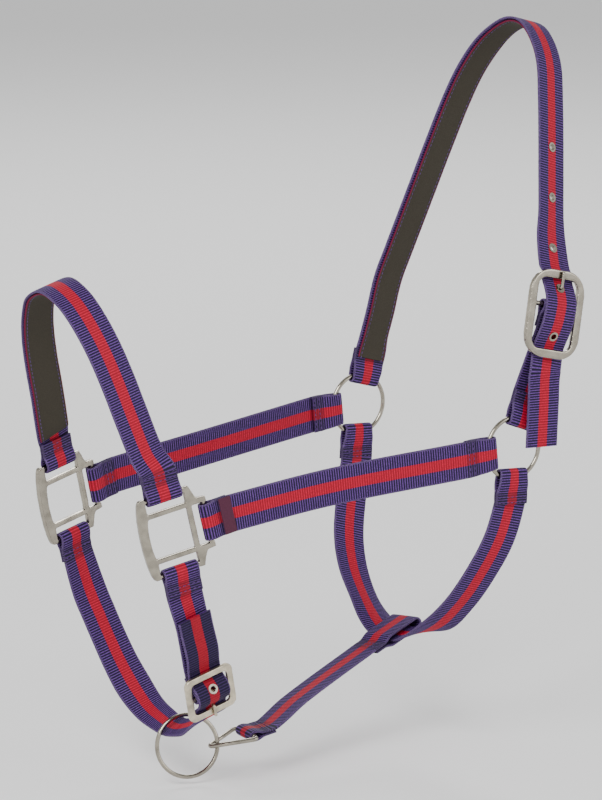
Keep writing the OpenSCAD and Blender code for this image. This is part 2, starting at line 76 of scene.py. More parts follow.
# ---- lengths below are millimetres, and MM turns them to metres ----
MM = 0.001
HALF_W = 12.2
WEB_T = 1.8
LINING_T = 1.4
LAYER_OFF = 1.0
FOLD_GAP = 0.36
STEPS = 24
HEM_TRIM = 0.3  # a folded end is this much narrower on each side
EYELET_CUT, PLAIN_CUT = 2.35, 2.2
TONGUE_SLOT = (5.5, 13, 14)
LINING_OFF = WEB_T / 2 + LINING_T / 2 + 0.25
TAB_T, TAB_LIFT = 0.8, 0.4
THREAD_R = 0.28
WELD = 0.002
FLOOR_HALF, FLOOR_DROP = 6.0, 0.004  # metres
FILM_WIDTH = 36


# ---- smooth curves and strap stations: (middle, direction across, half width) ----
def square_off(v, along):
    return (v - v.dot(along) * along).normalized()


def flip(p):
    return V((p[0], -p[1], p[2]))


def smooth(values, gaps):
    """Values along a smooth curve through the given ones, STEPS to a stretch, each stretch
    as long as its gap says."""
    q = [2 * values[0] - values[1], *values, 2 * values[-1] - values[-2]]
    out = []
    for i in range(1, len(values)):
        a, b, c, d = q[i - 1 : i + 3]
        before, here, after = gaps[max(i - 2, 0)], gaps[i - 1], gaps[min(i, len(gaps) - 1)]
        leave, arrive = (c - a) * here / (before + here), (d - b) * here / (here + after)
        for k in range(STEPS):
            s = k / STEPS
            rise = 3 * s * s - 2 * s * s * s
            out.append(b * (1 - rise) + c * rise + leave * (s * s * s - 2 * s * s + s)
                       + arrive * (s * s * s - s * s))
    return [*out, values[-1]]


def smooth_stations(ctrl, even=True):
    """Stations through the controls; even treats all stretches as equally long."""
    gaps = [1 if even else (b[0] - a[0]).length for a, b in zip(ctrl, ctrl[1:])]
    return list(zip(*(smooth([c[k] for c in ctrl], gaps) for k in range(3))))


class Fold:
    """A strap end turned round a bar or ring and sewn back on itself."""

    def __init__(self, centre, along, bar, side, radius, hold, neck, hem, half_width):
        self.centre, self.along = centre, along.normalized()
        self.across = square_off(bar, self.along)
        self.out = self.along.cross(self.across) * side
        self.side, self.radius, self.hold = side, radius, hold
        self.neck, self.hem, self.half_width = neck, hem, half_width

    def at(self, reach, rise):
        return self.centre + self.along * reach + self.out * rise

    def exit(self, reach):
        return self.at(reach, LAYER_OFF)

    def width(self, point):
        share = max(0.0, min(1.0, (point - self.centre).dot(self.along) / self.neck))
        return self.half_width + (HALF_W - self.half_width) * share

    def stations(self):
        ease = [i / 12 for i in range(1, 12)]
        grow = [(s, (1 - math.cos(math.pi * s)) / 2) for s in ease]
        span, swell = self.hold - self.neck, self.radius - LAYER_OFF
        flat = [(self.hem, -LAYER_OFF), (self.neck, -LAYER_OFF)]
        flat += [(self.neck + span * s, -LAYER_OFF - swell * e) for s, e in grow]
        flat += [(self.hold, -self.radius)]
        for turn in range(-90, -271, -9):
            a = math.radians(turn)
            flat.append((self.radius * math.cos(a), self.radius * math.sin(a)))
        flat += [(self.hold, self.radius)]
        flat += [(self.neck + span * s, LAYER_OFF + swell * e) for s, e in reversed(grow)]
        flat += [(self.neck, LAYER_OFF)]
        points = [self.at(*p) for p in flat]
        return [(p, self.across, self.width(p)) for p in points]

    def controls(self):
        return [(self.exit(s), self.across, HALF_W) for s in (self.neck, self.hem)]


def joined(start, middles, end=None):
    """A whole strap: a fold, a free run through the middles, and perhaps a fold."""
    ctrl = start.controls() + middles + (end.controls()[::-1] if end else [])
    run = smooth_stations(ctrl, even=end is None)
    if end is None:
        return start.stations() + run[1:]
    return start.stations() + run[1:-1] + end.stations()[::-1]


def beside(stations, distance, trim):
    """Stations moved off the strap's face and narrowed."""
    out = []
    for i, (p, across, half) in enumerate(stations):
        along = travel(stations, i)
        out.append((p + along.cross(square_off(across, along)) * distance, across, half - trim))
    return out


def travel(stations, i):
    a, b = stations[max(i - 1, 0)][0], stations[min(i + 1, len(stations) - 1)][0]
    return (b - a).normalized()


def framed(stations):
    """Each station's place, direction across, direction out of the face and half width."""
    for i, (p, direction, half) in enumerate(stations):
        along = travel(stations, i)
        across = square_off(direction, along)
        yield p, across, along.cross(across), half


# ---- places of the fittings ----
PITCH, YAW = math.radians(13), math.radians(9)
SQUARE = V((-243, -65, -32))
SQUARE_BACK = V((math.cos(PITCH) * math.cos(YAW), -math.cos(PITCH) * math.sin(YAW), math.sin(PITCH)))
SQUARE_UP = V((-math.sin(PITCH) * math.cos(YAW), math.sin(PITCH) * math.sin(YAW), math.cos(PITCH)))
BAR_REACH = 24.8
BAR_FOLD = 1.8 + FOLD_GAP + WEB_T / 2
RING_R, RING_WIRE = 20, 1.4
RING_IN = 16.7
NEAR_JOWL, FAR_JOWL = V((0, -90, 0)), V((0, 90, 0))
REAR_BAR = SQUARE + SQUARE_BACK * BAR_REACH
UPPER_BAR = SQUARE + SQUARE_UP * BAR_REACH
LOWER_BAR = SQUARE - SQUARE_UP * BAR_REACH


def bar_end(bar, along, direction, side):
    return Fold(bar, square_off(along, direction), direction, side, BAR_FOLD, 1, 9, 16,
                HALF_W - HEM_TRIM)


def ring_end(centre, along, direction, side):
    hold = RING_R + RING_WIRE + 0.6 - RING_IN
    radius = RING_WIRE + FOLD_GAP + WEB_T / 2
    return Fold(centre + along * RING_IN, along, direction, side, radius, hold, 14, 20, 10.5)


# ---- noseband and cheeks ----
NOSE_NORMAL = V((0.956, 0, 0.292))
NOSE_RISE = V((-0.28, 0.1, 0.95))
NEAR_NOSE = bar_end(UPPER_BAR, NOSE_RISE, SQUARE_BACK, -1)
FAR_NOSE = bar_end(flip(UPPER_BAR), flip(NOSE_RISE), flip(SQUARE_BACK), 1)
NOSE_SIDE = [(-58, 18), (-51.8, 42), (-47, 64), (-40.5, 84), (-31, 101), (-19, 113.5)]


def nose_at(y, z):
    return (V((-251 - 0.305 * z, y, z)), NOSE_NORMAL, HALF_W)


NOSE_MIDDLES = [nose_at(y, z) for y, z in NOSE_SIDE] + [nose_at(-1, 120)]
NOSE_MIDDLES += [nose_at(0.5 - y, z) for y, z in reversed(NOSE_SIDE)]

CHEEK_DIR = (NEAR_JOWL - REAR_BAR).normalized()
CHEEK_IN = V((REAR_BAR.x, 0, REAR_BAR.z + 4)).normalized()
CHEEK_UP = V((CHEEK_IN.z, 0, -CHEEK_IN.x))
NEAR_CHEEK = bar_end(REAR_BAR, CHEEK_DIR, SQUARE_UP, 1)
NEAR_CHEEK_RING = ring_end(NEAR_JOWL, CHEEK_IN, CHEEK_UP, -1)
FAR_CHEEK = bar_end(flip(REAR_BAR), flip(CHEEK_DIR), flip(SQUARE_UP), -1)
FAR_CHEEK_RING = ring_end(FAR_JOWL, CHEEK_IN, CHEEK_UP, 1)
CHEEK_SPAN = REAR_BAR + (NEAR_JOWL - REAR_BAR) * 0.4
CHEEK_NORMAL = V((0.07, 0, 1))

# ---- throat strap ----
THROAT_DROP, THROAT_BACK = V((-0.052, 0, -0.9986)), V((0.9986, 0, -0.052))
NEAR_THROAT = ring_end(NEAR_JOWL, THROAT_DROP, THROAT_BACK, -1)
FAR_THROAT = ring_end(FAR_JOWL, THROAT_DROP, THROAT_BACK, 1)
THROAT_LOW = V((-32, 0, -134.5))
THROAT_NORMAL, THROAT_TURN = V((0.965, 0, -0.26)), V((0.954, 0, 0.3))
THROAT_MIDDLES = [
    *[(V(p), THROAT_NORMAL, HALF_W)
      for p in ((-8, -86, -60), (-16, -76.5, -84), (-22.5, -63, -105), (-28, -44, -123))],
    (THROAT_LOW + V((0, -15, 0.6)), THROAT_TURN, 10.1),
    (THROAT_LOW, THROAT_TURN, 9.5),
    (THROAT_LOW + V((0, 15, 0.9)), THROAT_TURN, 10.1),
    *[(V(p), THROAT_NORMAL, HALF_W)
      for p in ((-27.5, 40, -121.5), (-22, 62.5, -105), (-15, 78.5, -86), (-7.5, 86.5, -60))],
]

# ---- chin strap and its buckle ----
CHIN_DOWN, CHIN_BACK = V((0.28, 0, -0.96)), V((0.96, 0, 0.28))


def chin_at(y, reach):
    return V((LOWER_BAR.x, y, LOWER_BAR.z)) + CHIN_DOWN * reach


class Buckle:
    """A buckle's centre bar and axes: x along the bar, y up the frame, z out of its face."""

    def __init__(self, centre, x, y):
        self.centre, self.x, self.y, self.z = centre, x, y, x.cross(y)

    def at(self, y, z):
        return self.centre + self.y * y + self.z * z

    def matrix(self):
        turn = Matrix((self.x, self.y, self.z)).transposed().to_4x4()
        return Matrix.Translation(self.centre) @ turn


def leaning(up, degrees):
    a = math.radians(degrees)
    return up * math.cos(a) + V((0, -1, 0)) * math.sin(a)


CHIN_BUCKLE = Buckle(chin_at(-62.5, 86.2), CHIN_BACK, leaning(-CHIN_DOWN, 11))
TIE_CENTRE = V((-201.1, -15, -185.4))
RING_FACE = V((-0.29, -0.94, 0.187)).normalized()
RING_SIDE = V((0.956, -0.295, 0)).normalized()
RING_TOP = RING_FACE.cross(RING_SIDE)
STRAP_ANGLE = math.radians(120)
RING_HANG = -RING_SIDE * math.cos(STRAP_ANGLE) - RING_TOP * math.sin(STRAP_ANGLE)
RING_PASS = TIE_CENTRE - RING_HANG * 14.3
RING_PASS_ACROSS = RING_SIDE * math.sin(STRAP_ANGLE) - RING_TOP * math.cos(STRAP_ANGLE)
FAR_CHIN = bar_end(flip(LOWER_BAR), CHIN_DOWN, flip(SQUARE_BACK), 1)
NEAR_CHIN = bar_end(LOWER_BAR, CHIN_DOWN, SQUARE_BACK, -1)
CHIN_THREADED = [(-18.5, -4.3), (-13.3, -3.3), (-11, -3.1), (-9.3, -2), (-7.4, 0.1), (-4.4, 3.2),
                 (0, 4.7), (4.4, 3.4), (7.2, 0.4), (9.2, -2), (11, -3.1), (13.5, -3.3), (17.5, -3.2)]
CHIN_MIDDLES = [
    (chin_at(64.3, 40), CHIN_BACK, HALF_W),
    (chin_at(59.5, 57), CHIN_BACK, HALF_W),
    (chin_at(54.3, 73), CHIN_BACK, HALF_W),
    (chin_at(48, 89), V((0.95, -0.05, 0.3)), HALF_W),
    (chin_at(38.5, 104.5), V((0.92, -0.1, 0.38)), HALF_W),
    (chin_at(25, 115.5) + V((-1, 0, 0)), V((0.86, 0, 0.5)), 11),
    (chin_at(9, 120) + V((-2.5, 0, 0)), V((0.8, 0.1, 0.6)), 9.8),
    (RING_PASS, RING_PASS_ACROSS, 9.3),
    (chin_at(-27, 117) + V((-2, 0, 0)), V((0.82, 0.05, 0.57)), 10.5),
    (chin_at(-41, 110.5), V((0.92, 0, 0.4)), 11.8),
    *[(CHIN_BUCKLE.at(y, z), CHIN_BACK, HALF_W) for y, z in CHIN_THREADED],
]
CHIN_HOLE_AT, CHIN_EYELET_AT = 15.65, 18.95
CHIN_TAIL = [(CHIN_BUCKLE.at(18.1, -3.2), CHIN_BACK, HALF_W),
             *[(chin_at(y, reach), CHIN_BACK, HALF_W)
               for y, reach in ((-66.3, 57), (-67, 44), (-68.2, 32))]]
LEAN_IN = math.radians(30)
CHIN_BUCKLE_FOLD = Fold(
    CHIN_BUCKLE.centre, CHIN_BUCKLE.y * math.cos(LEAN_IN) - CHIN_BUCKLE.z * math.sin(LEAN_IN),
    CHIN_BACK, -1, 1.4 + FOLD_GAP + WEB_T / 2, 1, 8, 15, HALF_W - HEM_TRIM)
CHIN_BUCKLE_MIDDLES = [(chin_at(-63.3, 36), CHIN_BACK, HALF_W), (chin_at(-61, 54), CHIN_BACK, HALF_W)]

# ---- link and connector ----
LINK_DIR, LINK_BASE_DIR = V((0.975, -0.1, 0.2)).normalized(), V((0.1, 0.995, 0)).normalized()
LINK_BASE = TIE_CENTRE + RING_SIDE * RING_R + LINK_DIR * 22
CONNECTOR_DIR = (THROAT_LOW - LINK_BASE).normalized()
CONNECTOR_W = square_off(V((0.1, 0.995, 0)), CONNECTOR_DIR)
LINK_FOLD = Fold(LINK_BASE, LINK_DIR, LINK_BASE_DIR, 1, 1.5 + FOLD_GAP + WEB_T / 2, 1, 8, 15, 10.6)
THROAT_FOLD = Fold(THROAT_LOW + CONNECTOR_DIR * 11.8 + V((0, 0, 0.6)), -CONNECTOR_DIR, CONNECTOR_W,
                   -1, 3.2, 23.6, 32, 39, HALF_W)
CONNECTOR_MIDDLES = [(LINK_BASE + CONNECTOR_DIR * 45, CONNECTOR_W, HALF_W)]

# ---- crown and its buckle ----
FAR_UP, NEAR_UP, TILT = math.radians(15), math.radians(20), math.radians(13)
FAR_CROWN = ring_end(FAR_JOWL, V((math.sin(FAR_UP), 0, math.cos(FAR_UP))),
                     V((math.cos(FAR_UP), 0, -math.sin(FAR_UP))), -1)
NEAR_CROWN = ring_end(NEAR_JOWL, V((math.sin(NEAR_UP), 0, math.cos(NEAR_UP))),
                      V((math.cos(NEAR_UP), 0, -math.sin(NEAR_UP))), 1)
CROWN_X = V((math.cos(TILT), 0, -math.sin(TILT)))
CROWN_BUCKLE = Buckle(V((28.4, -97, 91)), CROWN_X,
                      leaning(V((math.sin(TILT), 0, math.cos(TILT))), -6))
CROWN_TURN = V((0.93, 0.2, -0.25))
CROWN_THREADED = [(26, -8.3), (21.5, -4.1), (17.5, -3.5), (14.2, -1.8), (10.8, 0.6), (5.4, 3.6),
                  (0, 4.9), (-8, 4.2), (-14.5, 2.4), (-21, -0.6), (-26.5, -3.1), (-31, -3.6),
                  (-35.2, -3.3)]
CROWN_MIDDLES = [
    *[(V(p), V((0.95, 0.1, -0.255)), HALF_W)
      for p in ((11.5, 88, 46), (15, 86, 62), (19.7, 84, 84), (24.5, 78.5, 104), (30.2, 71.3, 128),
                (36.2, 64.5, 152), (43.9, 58, 179), (51.6, 50.8, 206), (57.7, 42.8, 227),
                (63.2, 31, 245))],
    *[(V(p), CROWN_TURN, HALF_W)
      for p in ((67.5, 18, 257), (69.8, 4, 262.5), (70.3, -10, 260.5), (68.6, -24, 250.5),
                (65.5, -35, 236.5), (61, -43, 216), (55.5, -51.5, 193), (49, -61, 166.7),
                (43.5, -69, 146))],
    (V((38.8, -76, 131)), V((0.96, 0.08, -0.24)), HALF_W),
    *[(CROWN_BUCKLE.at(y, z), CROWN_X, HALF_W) for y, z in CROWN_THREADED],
]
CROWN_TAIL = [(CROWN_BUCKLE.at(-42, -3.2), CROWN_X, HALF_W),
              (V((18.75, -97.4, 43.5)), V((0.98, 0, -0.17)), HALF_W),
              (V((18.4, -97.2, 29)), V((0.99, 0, -0.1)), HALF_W),
              (V((17.9, -97, 15)), V((0.995, 0, -0.07)), HALF_W),
              (V((17.4, -96.7, 0)), V((0.997, 0, -0.05)), HALF_W)]
CROWN_EYELET_AT = (18.25, 19.5, 21.35, 26, 30.75)
CROWN_BUCKLE_FOLD = Fold(CROWN_BUCKLE.centre, square_off(V((-9.4, 4.6, -36)), CROWN_X), CROWN_X, 1,
                         1.6 + FOLD_GAP + WEB_T / 2, 1, 8, 15, HALF_W - HEM_TRIM)
CROWN_BUCKLE_MIDDLES = [(V((18.6, -92, 54)), CROWN_X, HALF_W)]

HEADSTALL_FOLDS = [NEAR_NOSE, FAR_NOSE, NEAR_CHEEK, NEAR_CHEEK_RING, FAR_CHEEK, FAR_CHEEK_RING,
                   NEAR_THROAT, FAR_THROAT, FAR_CHIN, NEAR_CHIN, CHIN_BUCKLE_FOLD, LINK_FOLD, THROAT_FOLD]
CROWN_FOLDS = [FAR_CROWN, NEAR_CROWN, CROWN_BUCKLE_FOLD]


# ---- settings ----
def colour(name, description, default):
    return bpy.props.FloatVectorProperty(
        name=name, description=description, default=default, subtype="COLOR", min=0, max=1, size=3)


def length(name, description, default):
    return bpy.props.FloatProperty(
        name=name, description=description, default=default, min=0, unit="LENGTH", precision=5)


def share(name, description, default):
    return bpy.props.FloatProperty(
        name=name, description=description, default=default, min=0, max=1, subtype="FACTOR")


class HalterWebbing(bpy.types.PropertyGroup):
    """Sizes and colours of the webbing and its lining."""

    rib_pitch: length("Rib pitch", "Distance from one rib of the weave to the next", 1.7 * MM)
    rib_depth: length("Rib depth", "How deep the valleys between ribs are", 0.16 * MM)
    stripe: share("Stripe width", "Share of the webbing's width that the stripe takes", 0.285)
    selvage: share("Selvage width", "Share of the half width that the woven edge takes", 0.08)
    ground: colour("Ground", "Colour of the webbing", (0.0028, 0.0006, 0.015))
    # The rib crest colours are painted highlights: lighter tops that stand in for light falling on the
    # ribs.
    crest_highlight: colour("Rib crest", "Colour of the threads on top of the ribs", (0.150, 0.060, 0.31))
    stripe_ground: colour("Stripe", "Colour of the centre stripe", (0.24, 0.0, 0.010))
    stripe_highlight: colour("Stripe crest", "Colour of the stripe's rib tops", (0.60, 0.0015, 0.042))
    edge: colour("Edge flecks", "Colour of the light flecks in the woven edges", (0.26, 0.15, 0.42))
    suede: colour("Lining", "Colour of the soft lining", (0.034, 0.029, 0.021))
    piping: colour("Lining edge", "Colour of the line along the lining's edges", (0.13, 0.004, 0.03))
    thread: colour("Thread", "Colour of the sewing thread", (0.09, 0.045, 0.16))
    tab: colour("Tab", "Colour of the blank sewn tab", (0.060, 0.012, 0.030))
    stitch_pitch: length("Stitch pitch", "Distance from one stitch to the next", 2.9 * MM)


class HalterMetal(bpy.types.PropertyGroup):
    """Colours and edges of the fittings."""

    nickel: colour("Nickel", "Colour of the rings, squares and crown buckle", (0.36, 0.33, 0.27))
    cream: colour("Satin nickel", "Colour of the chin buckle", (0.66, 0.59, 0.45))
    # The shadowed colour is painted shade, mixed into the plate over random cloudy patches.
    wear_and_shade: colour("Shadowed metal", "Colour of the metal in its hollows", (0.10, 0.088, 0.07))
    skin: length("Casting grid", "Grid that the castings are shaped on", 0.4 * MM)
    polish: bpy.props.IntProperty(
        name="Polishing", description="How many times the cast edges are rubbed down",
        default=9, min=0)


class HalterStage(bpy.types.PropertyGroup):
    """Camera, floor and light."""

    camera_place: bpy.props.FloatVectorProperty(
        name="Camera place", description="Where the camera stands", subtype="TRANSLATION",
        default=(-1.97787, -2.87848, 0.68424), size=3)
    azimuth: bpy.props.FloatProperty(
        name="Azimuth", description="Direction that the camera looks from", subtype="ANGLE",
        default=math.radians(-33.06))
    elevation: bpy.props.FloatProperty(
        name="Elevation", description="Height of the camera above the level", subtype="ANGLE",
        default=math.radians(10.82))
    lens: bpy.props.FloatProperty(
        name="Lens", description="Focal length of the camera", default=243.6, unit="CAMERA")
    floor: colour("Floor", "Colour of the floor", (0.90, 0.90, 0.90))
    daylight: bpy.props.FloatProperty(
        name="Daylight", description="Strength of the even light all round", default=1.7, min=0)
    key: bpy.props.FloatProperty(
        name="Key light", description="Power of the main lamp", default=80, min=0, unit="POWER")


# ---- shader helpers ----
class Tree:
    """Adds nodes to a node tree and links them in one call."""

    def __init__(self, tree):
        self.tree = tree

    def link(self, source, target):
        self.tree.links.new(source, target)

    def add(self, kind, inputs=None, **settings):
        node = self.tree.nodes.new(kind)
        for key, value in settings.items():
            setattr(node, key, value)
        for key, value in (inputs or {}).items():
            if isinstance(value, bpy.types.NodeSocket):
                self.link(value, node.inputs[key])
            else:
                node.inputs[key].default_value = value
        return node

    def out(self, *kind_and_inputs, **settings):
        return self.add(*kind_and_inputs, **settings).outputs[0]

    def math(self, operation, *values, clamp=False):
        inputs = dict(enumerate(values))
        return self.out("ShaderNodeMath", inputs, operation=operation, use_clamp=clamp)

    def times(self, a, b, clamp=False):
        return self.math("MULTIPLY", a, b, clamp=clamp)

    def mix(self, factor, a, b):
        return self.add("ShaderNodeMix", {0: factor, 6: a, 7: b}, data_type="RGBA").outputs[2]

    def split(self, vector):
        return self.add("ShaderNodeSeparateXYZ", {0: vector}).outputs

    def combine(self, *values):
        return self.out("ShaderNodeCombineXYZ", dict(enumerate(values)))

    def vector(self, operation, inputs):
        return self.out("ShaderNodeVectorMath", inputs, operation=operation)

    def attribute(self, name):
        node = self.add("ShaderNodeAttribute", attribute_name=name, attribute_type="GEOMETRY")
        return node.outputs


def rgba(values):
    return (*values, 1.0)


def new_group(name, kind, inputs, outputs):
    """An empty node group; each socket is its name, its type and perhaps its default."""
    tree = bpy.data.node_groups.new(name, kind)
    for direction, sockets in (("INPUT", inputs), ("OUTPUT", outputs)):
        for label, form, *default in sockets:
            made = tree.interface.new_socket(
                name=label, in_out=direction, socket_type="NodeSocket" + form)
            if default:
                made.default_value = default[0]
    t = Tree(tree)
    return t, t.add("NodeGroupInput").outputs


def close_group(t, *results):
    done = t.add("NodeGroupOutput")
    for i, result in enumerate(results):
        t.link(result, done.inputs[i])
    return t.tree


def fuzz_group():
    """Uneven dye and fibre: turns a colour lighter and darker over the surface."""
    found = bpy.data.node_groups.get("Fibre fuzz")
    if found:
        return found
    t, given = new_group(
        "Fibre fuzz", "ShaderNodeTree",
        [("Color", "Color"), ("Amount", "Float", 0.3), ("Scale", "Float", 900.0)],
        [("Color", "Color"), ("Height", "Float")])
    place = t.add("ShaderNodeTexCoord").outputs["Object"]
    noise = t.add("ShaderNodeTexNoise", {"Vector": place, "Scale": given["Scale"], "Detail": 3.0})
    swing = t.times(t.math("SUBTRACT", noise.outputs[0], 0.5), given["Amount"])
    value = t.math("ADD", 1.0, t.times(swing, 2.0))
    shaded = t.add("ShaderNodeHueSaturation", {"Color": given["Color"], "Value": value})
    return close_group(t, shaded.outputs[0], noise.outputs[0])


def weave_group():
    """Ribbed weave with a centre stripe and painted highlights on the rib crests, from the strap's own
    across-and-along attribute.
    """
    colours = ("Ground", "Crest", "Stripe", "Stripe crest", "Edge")
    t, given = new_group(
        "Ribbed weave", "ShaderNodeTree",
        [*((name, "Color") for name in colours), ("Stripe width", "Float", 0.3),
         ("Selvage width", "Float", 0.1), ("Rib pitch", "Float", 1.7), ("Reverse", "Float", 0.0)],
        [("Color", "Color"), ("Height", "Float")])
    across, along, rise = t.split(t.attribute("weave")["Vector"])
    aside = t.math("ABSOLUTE", across)
    turn = t.times(t.math("DIVIDE", along, given["Rib pitch"]), 2 * math.pi)
    rib = t.math("MULTIPLY_ADD", t.math("COSINE", turn), 0.5, 0.5)
    # Painted highlight: the rib crests get a lighter colour, broken into short flecks because the threads
    # run along the ribs
    cells = t.combine(t.times(across, 26.0), t.times(along, 1.2), rise)
    fleck = t.add("ShaderNodeTexNoise", {"Vector": cells, "Scale": 1.0, "Detail": 2.0})
    lit = t.times(t.math("POWER", rib, 2.6),
                  t.math("MULTIPLY_ADD", fleck.outputs[0], 2.4, -0.45), clamp=True)
    # The smoother reverse face gets less of the painted rib highlight.
    lit = t.times(lit, t.math("MULTIPLY_ADD", given["Reverse"], -0.75, 1.0))
    ground = t.mix(lit, given["Ground"], given["Crest"])
    stripe = t.mix(lit, given["Stripe"], given["Stripe crest"])
    jag = t.math("MULTIPLY_ADD", rib, 0.02, given["Stripe width"])
    cloth = t.mix(t.math("LESS_THAN", aside, jag), ground, stripe)
    fine = t.math("MULTIPLY_ADD", t.math("SINE", t.times(turn, 2.0)), 0.5, 0.5)
    speck = t.times(fine, fleck.outputs[0])
    hem_start = t.math("SUBTRACT", 1.0, given["Selvage width"])
    woven = t.mix(speck, given["Ground"], given["Edge"])
    cloth = t.mix(t.math("GREATER_THAN", aside, hem_start), cloth, woven)
    return close_group(t, cloth, t.math("ADD", lit, t.times(fine, 0.2)))


def new_material(name, roughness, metallic=0.0):
    made = bpy.data.materials.new(name)
    made.use_nodes = True
    shader = made.node_tree.nodes["Principled BSDF"]
    shader.inputs["Roughness"].default_value = roughness
    shader.inputs["Metallic"].default_value = metallic
    if not metallic:
        shader.inputs["Specular IOR Level"].default_value = 0.25
    return made, Tree(made.node_tree), shader


def bump(t, shader, height, strength, distance):
    node = t.add("ShaderNodeBump", {"Height": height, "Strength": strength, "Distance": distance})
    t.link(node.outputs[0], shader.inputs["Normal"])


def fuzzy(t, tint, amount=0.3, scale=900.0):
    """Colour and height of a tint, which is a socket or a colour, with the fuzz over it."""
    inputs = {"Color": tint, "Amount": amount, "Scale": scale}
    return t.add("ShaderNodeGroup", inputs, node_tree=fuzz_group()).outputs


def webbing_material(name):
    """The striped webbing, with painted highlights on its rib crests and painted shade over its sewn
    folds.
    """
    found = bpy.data.materials.get(name)
    if found:
        return found
    cloth = bpy.context.scene.halter_webbing
    made, t, shader = new_material(name, 0.7)
    weave = t.add("ShaderNodeGroup", {
        "Ground": rgba(cloth.ground), "Crest": rgba(cloth.crest_highlight), "Edge": rgba(cloth.edge),
        "Stripe": rgba(cloth.stripe_ground), "Stripe crest": rgba(cloth.stripe_highlight),
        "Stripe width": cloth.stripe, "Selvage width": cloth.selvage,
        "Rib pitch": cloth.rib_pitch / MM, "Reverse": t.attribute("reverse")["Fac"],
    }, node_tree=weave_group()).outputs
    # Painted shade: the doubled, sewn part of each fold is darkened towards a deep ground colour.
    fold_shaded_colour = t.mix(t.times(t.attribute("sewn")["Fac"], 0.42), fuzzy(t, weave["Color"])["Color"],
                    rgba([c * 0.35 + 0.004 for c in cloth.ground]))
    t.link(fold_shaded_colour, shader.inputs["Base Color"])
    bump(t, shader, weave["Height"], 0.5, 0.15 * MM)
    return made


def lining_material():
    """The soft lining, with a coloured line along its edges."""
    cloth = bpy.context.scene.halter_webbing
    made, t, shader = new_material("Suede lining", 0.9)
    across = t.split(t.attribute("weave")["Vector"])[0]
    edge = t.math("GREATER_THAN", t.math("ABSOLUTE", across), 0.945)
    fuzz = fuzzy(t, t.mix(edge, rgba(cloth.suede), rgba(cloth.piping)), 0.35, 1400.0)
    t.link(fuzz["Color"], shader.inputs["Base Color"])
    bump(t, shader, fuzz["Height"], 0.4, 0.2 * MM)
    return made


def cloth_material(name, tint):
    """A plain cloth or thread of one colour."""
    made, t, shader = new_material(name, 0.75)
    fuzz = fuzzy(t, rgba(tint), scale=1500.0)
    t.link(fuzz["Color"], shader.inputs["Base Color"])
    bump(t, shader, fuzz["Height"], 0.4, 0.15 * MM)
    return made


def metal_material(name, tint, low, high):
    """Plated metal with painted shade mixed in over random cloudy patches, and a little unevenness in
    polish.
    """
    wear_and_shade = bpy.context.scene.halter_metal.wear_and_shade
    made, t, shader = new_material(name, low, metallic=1.0)
    place = t.add("ShaderNodeTexCoord").outputs["Object"]
    cloud = t.out("ShaderNodeTexNoise", {"Vector": place, "Scale": 160.0, "Detail": 4.0})
    mark = t.out("ShaderNodeMapRange", {"Value": cloud, "From Min": 0.35, "From Max": 0.75,
                                        "To Min": 0.0, "To Max": 0.5})
    # Painted shade: the darker shadowed colour is mixed in up to half over random cloudy patches, not in
    # the hollows.
    t.link(t.mix(mark, rgba(tint), rgba(wear_and_shade)), shader.inputs["Base Color"])
    polish = t.out("ShaderNodeMapRange", {"Value": cloud, "From Min": 0.3, "From Max": 0.7,
                                          "To Min": low, "To Max": high})
    t.link(polish, shader.inputs["Roughness"])
    grain = t.out("ShaderNodeTexNoise", {"Vector": place, "Scale": 700.0, "Detail": 2.0})
    bump(t, shader, grain, 0.04, 0.1 * MM)
    return made


# ---- geometry node trees ----
def modifier_inputs(tree, modifier, values):
    """Sets a modifier's inputs by each socket's identifier."""
    for item in tree.interface.items_tree:
        if item.item_type == "SOCKET" and item.in_out == "INPUT" and item.name in values:
            modifier[item.identifier] = values[item.name]


def named(t, name, kind):
    node = t.add("GeometryNodeInputNamedAttribute", {"Name": name}, data_type=kind)
    return node.outputs["Attribute"]


def stored(t, geometry, name, value, kind):
    inputs = {"Geometry": geometry, "Name": name, "Value": value}
    return t.out("GeometryNodeStoreNamedAttribute", inputs, data_type=kind, domain="POINT")


def resampled(t, line, spacing):
    """A line of edges as a curve of evenly spaced points."""
    curve = t.out("GeometryNodeMeshToCurve", {0: line})
    inputs = {"Curve": curve, "Length": spacing}
    return t.out("GeometryNodeResampleCurve", inputs, mode="LENGTH")


def rounded(t, value, power):
    """value with its sign kept and its size raised to a power."""
    size = t.math("POWER", t.math("ABSOLUTE", value), power)
    return t.times(t.math("SIGN", value), size)


def real_mesh(t, made, material):
    """Ends a tree: smooth faces, no instances, one material."""
    made = t.out("GeometryNodeSetShadeSmooth", {"Geometry": made})
    made = t.out("GeometryNodeRealizeInstances", {0: made})
    made = t.out("GeometryNodeSetMaterial", {"Geometry": made, "Material": material})
    return close_group(t, made)


